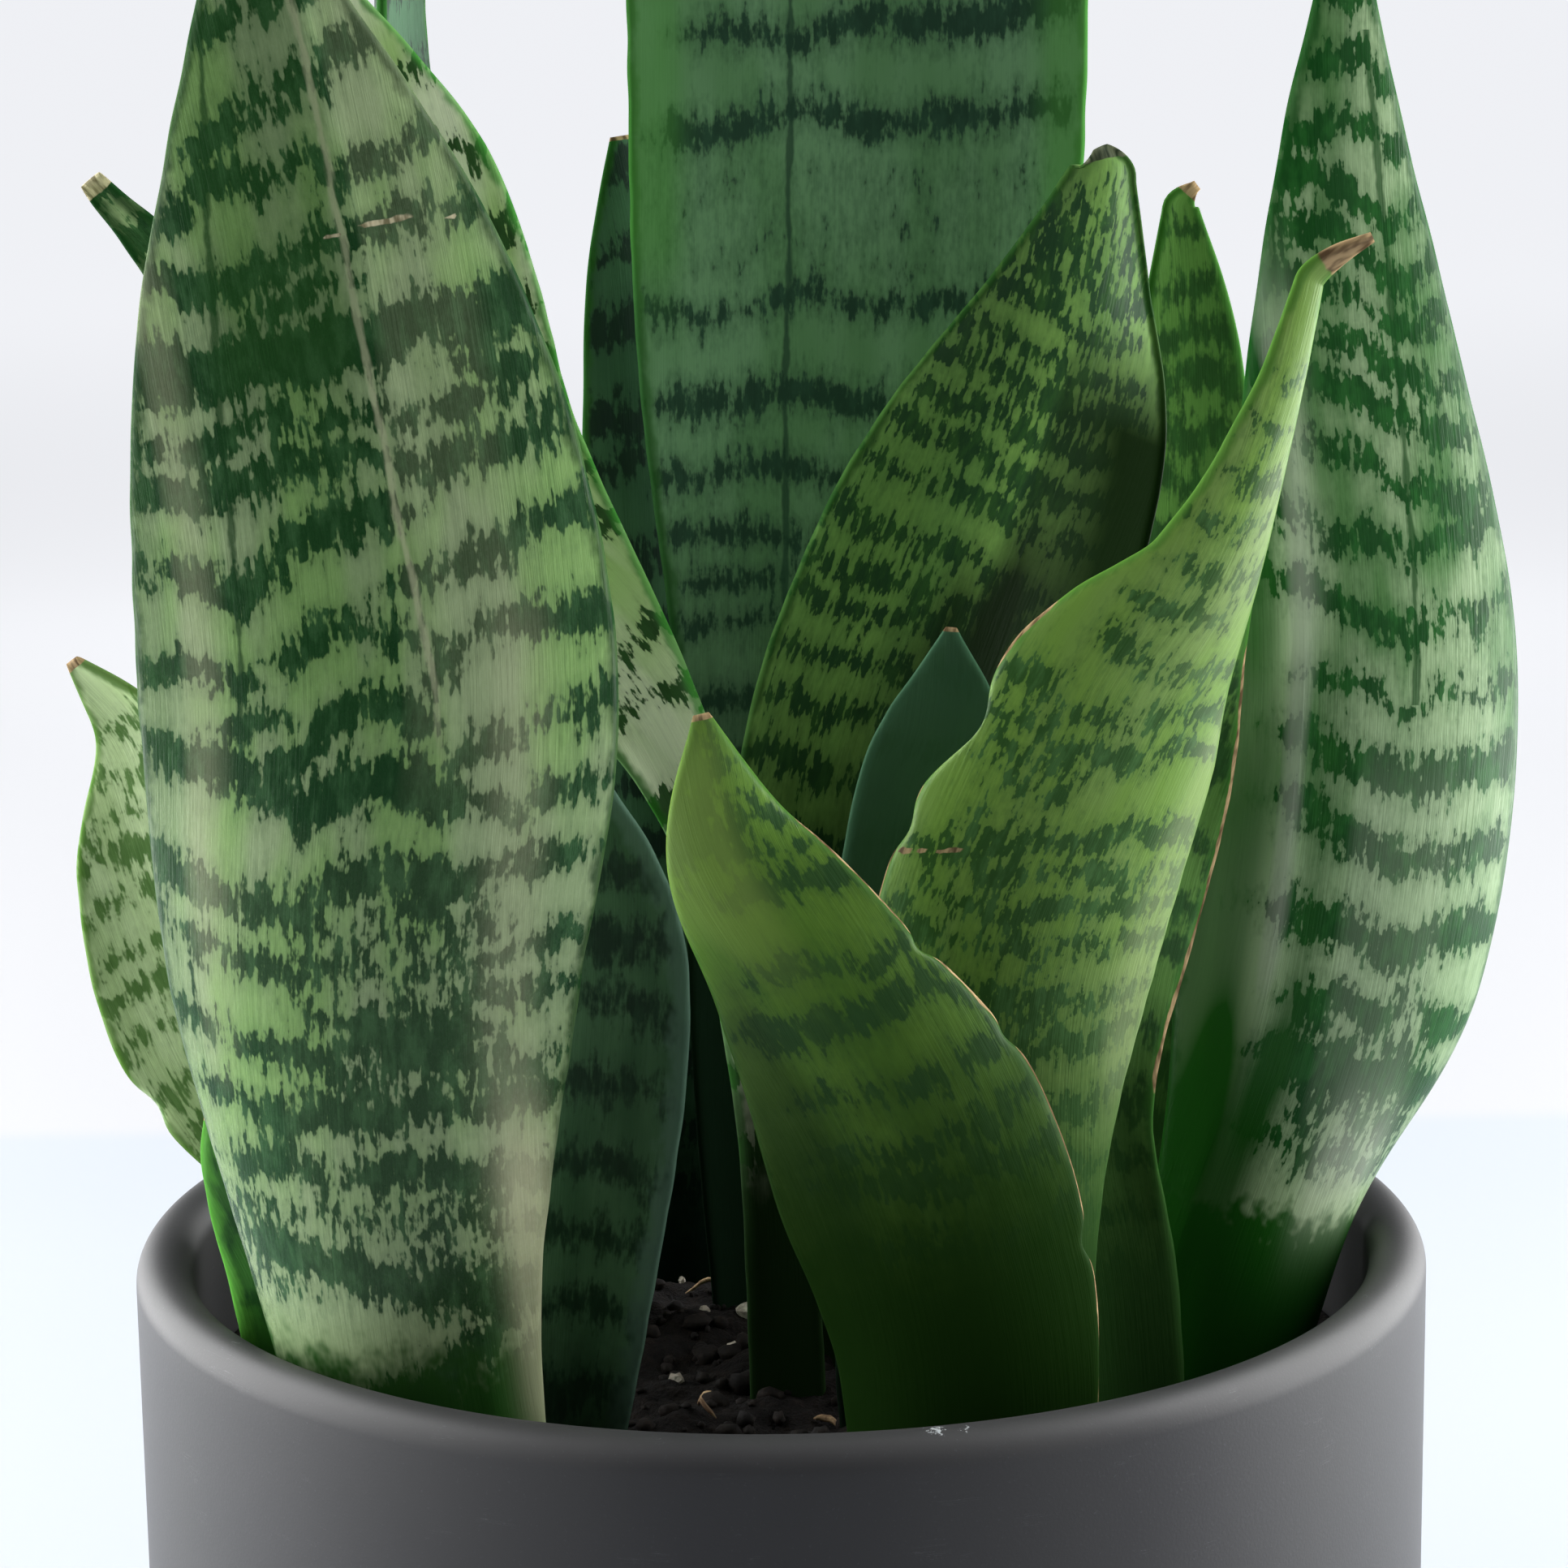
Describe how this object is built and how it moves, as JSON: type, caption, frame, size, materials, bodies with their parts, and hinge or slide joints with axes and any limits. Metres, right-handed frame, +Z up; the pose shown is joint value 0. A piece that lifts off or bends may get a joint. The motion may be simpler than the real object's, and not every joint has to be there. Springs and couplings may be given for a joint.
{
  "type": "potted ceylon bowstring hemp",
  "caption": "Upright plant of stiff, pointed, cross-banded leaves, standing in soil in a straight round ceramic pot with a rounded rim.",
  "frame": {"origin": "the middle of the pot's flat foot, on the surface that it stands on", "axes": "+Z up along the pot's axis, -Y towards the side that the picture shows, +X to its right"},
  "size_m": [0.1646, 0.15, 0.4261],
  "materials": {
    "pot_ceramic": "matt dark grey glaze",
    "soil": null,
    "leaf_banded": "satin green leaf with pale bands; leather stands in for the firm leaf",
    "leaf_dark": "satin dark green leaf with faint bands; leather stands in for the firm leaf",
    "leaf_light": "satin yellow-green leaf with dark bands; leather stands in for the firm leaf"
  },
  "bodies": {
    "root": {"pot": "pot_ceramic", "soil": "soil", "front_left_leaf": "leaf_banded", "left_leaning_leaf": "leaf_banded", "back_left_tall_leaf": "leaf_dark", "left_hooked_leaf": "leaf_banded", "left_leaf": "leaf_light", "left_scale_leaf": "leaf_dark", "tall_back_leaf": "leaf_dark", "dark_back_leaf": "leaf_dark", "cupped_leaf": "leaf_light", "young_leaf": "leaf_dark", "right_leaning_leaf": "leaf_light", "front_leaf": "leaf_light", "shaded_leaf": "leaf_dark", "right_leaf": "leaf_banded", "wavy_leaf": "leaf_light", "right_back_leaf": "leaf_dark"}
  },
  "joints": []
}
